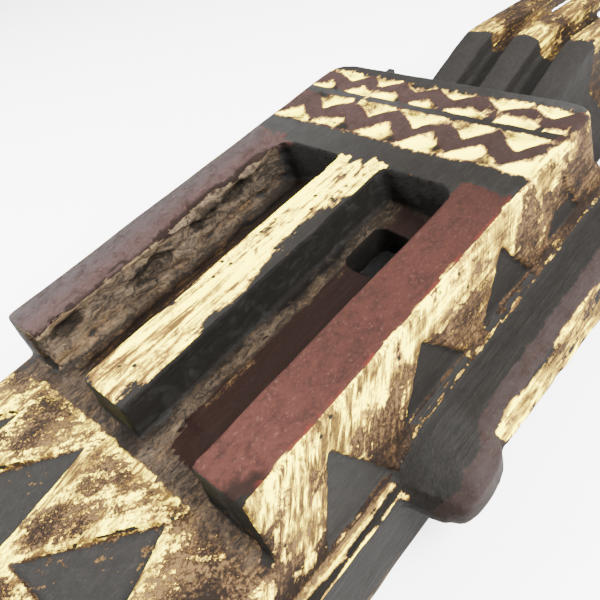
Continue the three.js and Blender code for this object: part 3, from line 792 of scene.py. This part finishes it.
def worn_paint_material(name):
    material = empty_material(name)
    tree = material.node_tree
    position = add_node(tree, "ShaderNodeTexCoord").outputs["Object"]

    def attribute(key):
        return add_node(tree, "ShaderNodeAttribute", {"attribute_name": key}).outputs["Fac"]

    def scaled(value, factor):
        return calc(tree, "MULTIPLY", value, factor)

    def total(*values):
        result = values[0]
        for value in values[1:]:
            result = calc(tree, "ADD", result, value)
        return result

    def between(factor, a, b):
        return calc(tree, "ADD", scaled(calc(tree, "SUBTRACT", b, a), factor), a)

    def rotated(axis, angle):
        settings = {"rotation_type": axis}
        return add_node(tree, "ShaderNodeVectorRotate", settings, Vector=position, Angle=angle).outputs[0]

    def pattern(size, detail, roughness, distortion=0.0, vector=position):
        return lumps(tree, stretched(tree, vector, *size), detail, roughness, distortion)

    # Streaks follow the wood up the mask, run down its sides, and lean to the right on the chin
    streaks = pattern((1.8, 24, 1.8), 4, 0.6, 0.3)
    down = pattern((2.0, 1.9, 19), 5, 0.62, 0.4, rotated("X_AXIS", SIDE_LEAN))
    leaning = pattern((2.2, 14, 2.2), 4, 0.6, 0.3, rotated("Z_AXIS", CHIN_LEAN))
    streaks = between(attribute("across"), streaks, down)
    grit = pattern((1.1, 1.5, 1.1), 3, 0.7)
    leaning = total(scaled(leaning, 0.9), scaled(grit, 0.8), -0.35)
    streaks = between(attribute("slant"), streaks, leaning)
    flakes = pattern((5, 7, 5), 8, 0.64, 0.5)
    specks = pattern((1.0, 1.3, 1.0), 2, 0.6)
    broad = pattern((20, 32, 20), 3, 0.5)
    scratches = pattern((0.5, 20, 0.5), 3, 0.6)
    crags = pattern((3.5, 7, 3.5), 6, 0.75, 1.2)
    mottle = total(scaled(flakes, 0.6), scaled(grit, 0.4))
    tone_and_painted_light = attribute("tone_and_painted_light")
    pale = attribute("pale")
    craggy = attribute("craggy")
    golden = attribute("golden")
    even = attribute("even")

    # Round black specks
    dots = add_node(tree, "ShaderNodeTexVoronoi", None, Vector=position, Scale=1 / SPECK_PITCH).outputs[0]
    dots = calc(tree, "MULTIPLY", step(tree, dots, 0.19, 0.13), step(tree, broad, 0.40, 0.52))

    # Bare wood, sandier where it is craggy; there it is lighter on the raised crags and darker in the low
    # ones, partly painted highlight and painted shade on the relief
    grain = total(scaled(streaks, 0.6), scaled(flakes, 0.5), scaled(grit, 0.5), scaled(pale, 0.3), -0.45)
    wood = staged(tree, grain, WOOD, WOOD_STAGES)
    crag_tint_and_relief_light = total(crags, scaled(pale, 0.25), scaled(grit, 0.25), -0.26)
    wood = mixed(tree, scaled(craggy, 0.85), wood, staged(tree, crag_tint_and_relief_light, CRAG, CRAG_STAGES))

    # Grey-black paint, with fine light scratches
    scratched = scaled(step(tree, scratches, 0.52, 0.72), 0.7)
    black = mixed(tree, scratched, mixed(tree, tone_and_painted_light, *BLACK), mixed(tree, tone_and_painted_light, *SCRATCHED_BLACK))
    wear = total(scaled(flakes, 1.3), scaled(streaks, 0.7), -0.5)
    dark_mask = step(tree, calc(tree, "SUBTRACT", attribute("dark"), wear), -0.02, 0.04)
    colour = mixed(tree, dark_mask, wood, black)

    # Red paint, greyer on the left bar and on the ears, with light specks and bright dabs
    red = mixed(tree, attribute("mauve"), mixed(tree, tone_and_painted_light, *RED), mixed(tree, tone_and_painted_light, *MAUVE))
    red = mixed(tree, scaled(step(tree, mottle, 0.50, 0.60), 0.55), red, DULL_RED)
    red = mixed(tree, scaled(step(tree, streaks, 0.54, 0.7), 0.4), red, DULL_RED)
    light_specks = calc(tree, "MULTIPLY", step(tree, specks, 0.6, 0.7), scaled(tone_and_painted_light, 0.5))
    red = mixed(tree, light_specks, red, RED_SPECK)
    dabs = calc(tree, "MULTIPLY", attribute("dabs"), step(tree, flakes, 0.50, 0.54))
    red = mixed(tree, dabs, red, BRIGHT_RED)
    red_mask = step(tree, calc(tree, "SUBTRACT", attribute("red"), wear), -0.02, 0.04)
    colour = mixed(tree, red_mask, colour, red)

    # The wood and these paints are darker in blotches
    shade = total(scaled(step(tree, mottle, 0.3, 0.7), -0.4), 1.0)
    settings = {"operation": "SCALE"}
    colour = add_node(tree, "ShaderNodeVectorMath", settings, Vector=colour, Scale=shade).outputs[0]

    # Cream paint: brown where it is rubbed thin, stained along the streaks, specked and flaked
    strokes = between(scaled(even, 0.9), streaks, broad)
    bits = between(scaled(even, 0.5), flakes, 0.5)
    cream_wear = total(scaled(bits, 1.7), scaled(strokes, 1.6), scaled(grit, 0.5), scaled(broad, 0.8), -1.8)
    thickness = calc(tree, "SUBTRACT", attribute("cream"), cream_wear)
    cream = staged(tree, thickness, CREAM, CREAM_STAGES)
    stains = between(attribute("across"), pattern((3.5, 26, 3.5), 4, 0.65, 0.4), down)
    stains = total(scaled(stains, 0.8), scaled(grit, 0.2), scaled(attribute("stained"), 0.16), -0.08)
    honey = mixed(tree, step(tree, grit, 0.42, 0.60), *HONEY)
    cream = mixed(tree, scaled(step(tree, stains, 0.46, 0.515), golden), cream, honey)
    stain = mixed(tree, golden, LIGHT_STAIN, DARK_STAIN)
    stain = mixed(tree, scaled(step(tree, mottle, 0.44, 0.54), golden), stain, honey)
    cream = mixed(tree, step(tree, stains, 0.52, 0.56), cream, stain)
    cream = mixed(tree, scaled(step(tree, stains, 0.575, 0.60), 0.8), cream, DEEP_STAIN)
    cream = mixed(tree, dots, cream, BLACK_SPECK)
    cream_mask = step(tree, thickness, -0.02, 0.03)
    colour = mixed(tree, cream_mask, colour, cream)

    # Soot and painted shade
    soot_and_shade = calc(tree, "MULTIPLY", attribute("soot_and_painted_shade"), step(tree, flakes, 0.15, 0.5))
    colour = mixed(tree, soot_and_shade, colour, SOOT_AND_SHADE)

    # Gloss and relief
    gloss = total(scaled(cream_mask, 0.1), scaled(flakes, 0.15), scaled(craggy, 0.25), 0.65)
    craggy_height = calc(tree, "MULTIPLY", craggy, scaled(crags, 5))
    height = total(scaled(cream_mask, 0.5), streaks, scaled(scratches, 0.35), scaled(flakes, 0.9))
    height = total(height, scaled(grit, 0.5), craggy_height)
    bump = add_node(tree, "ShaderNodeBump", None, Strength=RELIEF_STRENGTH, Distance=RELIEF, Height=height)
    add_surface(tree, Base_Color=colour, Roughness=gloss, Normal=bump.outputs[0],
                Specular_IOR_Level=SPECULAR)
    return material


def add_mask():
    mesh = carved_mesh("mask")
    paint(mesh)
    mesh.materials.clear()
    mesh.materials.append(worn_paint_material("worn_paint"))
    mesh.shade_smooth()
    piece = bpy.data.objects.new("carved_mask", mesh)
    bpy.context.collection.objects.link(piece)
    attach(piece, "root")
    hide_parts("mask")


# The stage


def floor_material():
    material = empty_material("pale_floor")
    tree = material.node_tree
    position = add_node(tree, "ShaderNodeTexCoord").outputs["Object"]
    cloud = lumps(tree, stretched(tree, position, 300, 300, 300))
    colour = mixed(tree, cloud, (0.86, 0.86, 0.86), (0.90, 0.90, 0.90))
    add_surface(tree, Base_Color=colour, Roughness=0.9)
    return material


def add_floor():
    mesh = bpy.data.meshes.new("floor")
    corners = [(x * FLOOR_HALF, y * FLOOR_HALF, 0) for x, y in ((-1, -1), (1, -1), (1, 1), (-1, 1))]
    mesh.from_pydata(corners, [], [(0, 1, 2, 3)])
    mesh.materials.append(floor_material())
    floor = bpy.data.objects.new("floor", mesh)
    bpy.context.collection.objects.link(floor)


def add_softbox(name, place, size, power):
    data = bpy.data.lights.new(name, "AREA")
    data.energy = power
    data.size = size
    light = bpy.data.objects.new(name, data)
    light.location = place
    light.rotation_euler = (-Vector(place)).to_track_quat("-Z", "Y").to_euler()
    bpy.context.collection.objects.link(light)


def add_world(strength):
    world = bpy.data.worlds.new("studio")
    world.use_nodes = True
    background = world.node_tree.nodes["Background"]
    background.inputs["Color"].default_value = (1, 1, 1, 1)
    background.inputs["Strength"].default_value = strength
    bpy.context.scene.world = world


def add_camera():
    forward = Vector(CAMERA_FORWARD).normalized()
    right = Vector(CAMERA_RIGHT)
    right = (right - forward * right.dot(forward)).normalized()
    up = right.cross(forward)
    data = bpy.data.cameras.new("camera")
    data.lens = CAMERA_LENS_MM
    data.sensor_width = CAMERA_SENSOR_MM
    data.clip_start = CAMERA_CLIP_START
    camera = bpy.data.objects.new("camera", data)
    turn = Matrix((right, up, -forward)).transposed()
    camera.matrix_world = Matrix.Translation(CAMERA_PLACE) @ turn.to_4x4()
    bpy.context.collection.objects.link(camera)
    bpy.context.scene.camera = camera


add_mask()
add_floor()
add_world(SKY_STRENGTH)
add_softbox("key", **KEY_LIGHT)
add_softbox("fill", **FILL_LIGHT)
add_camera()
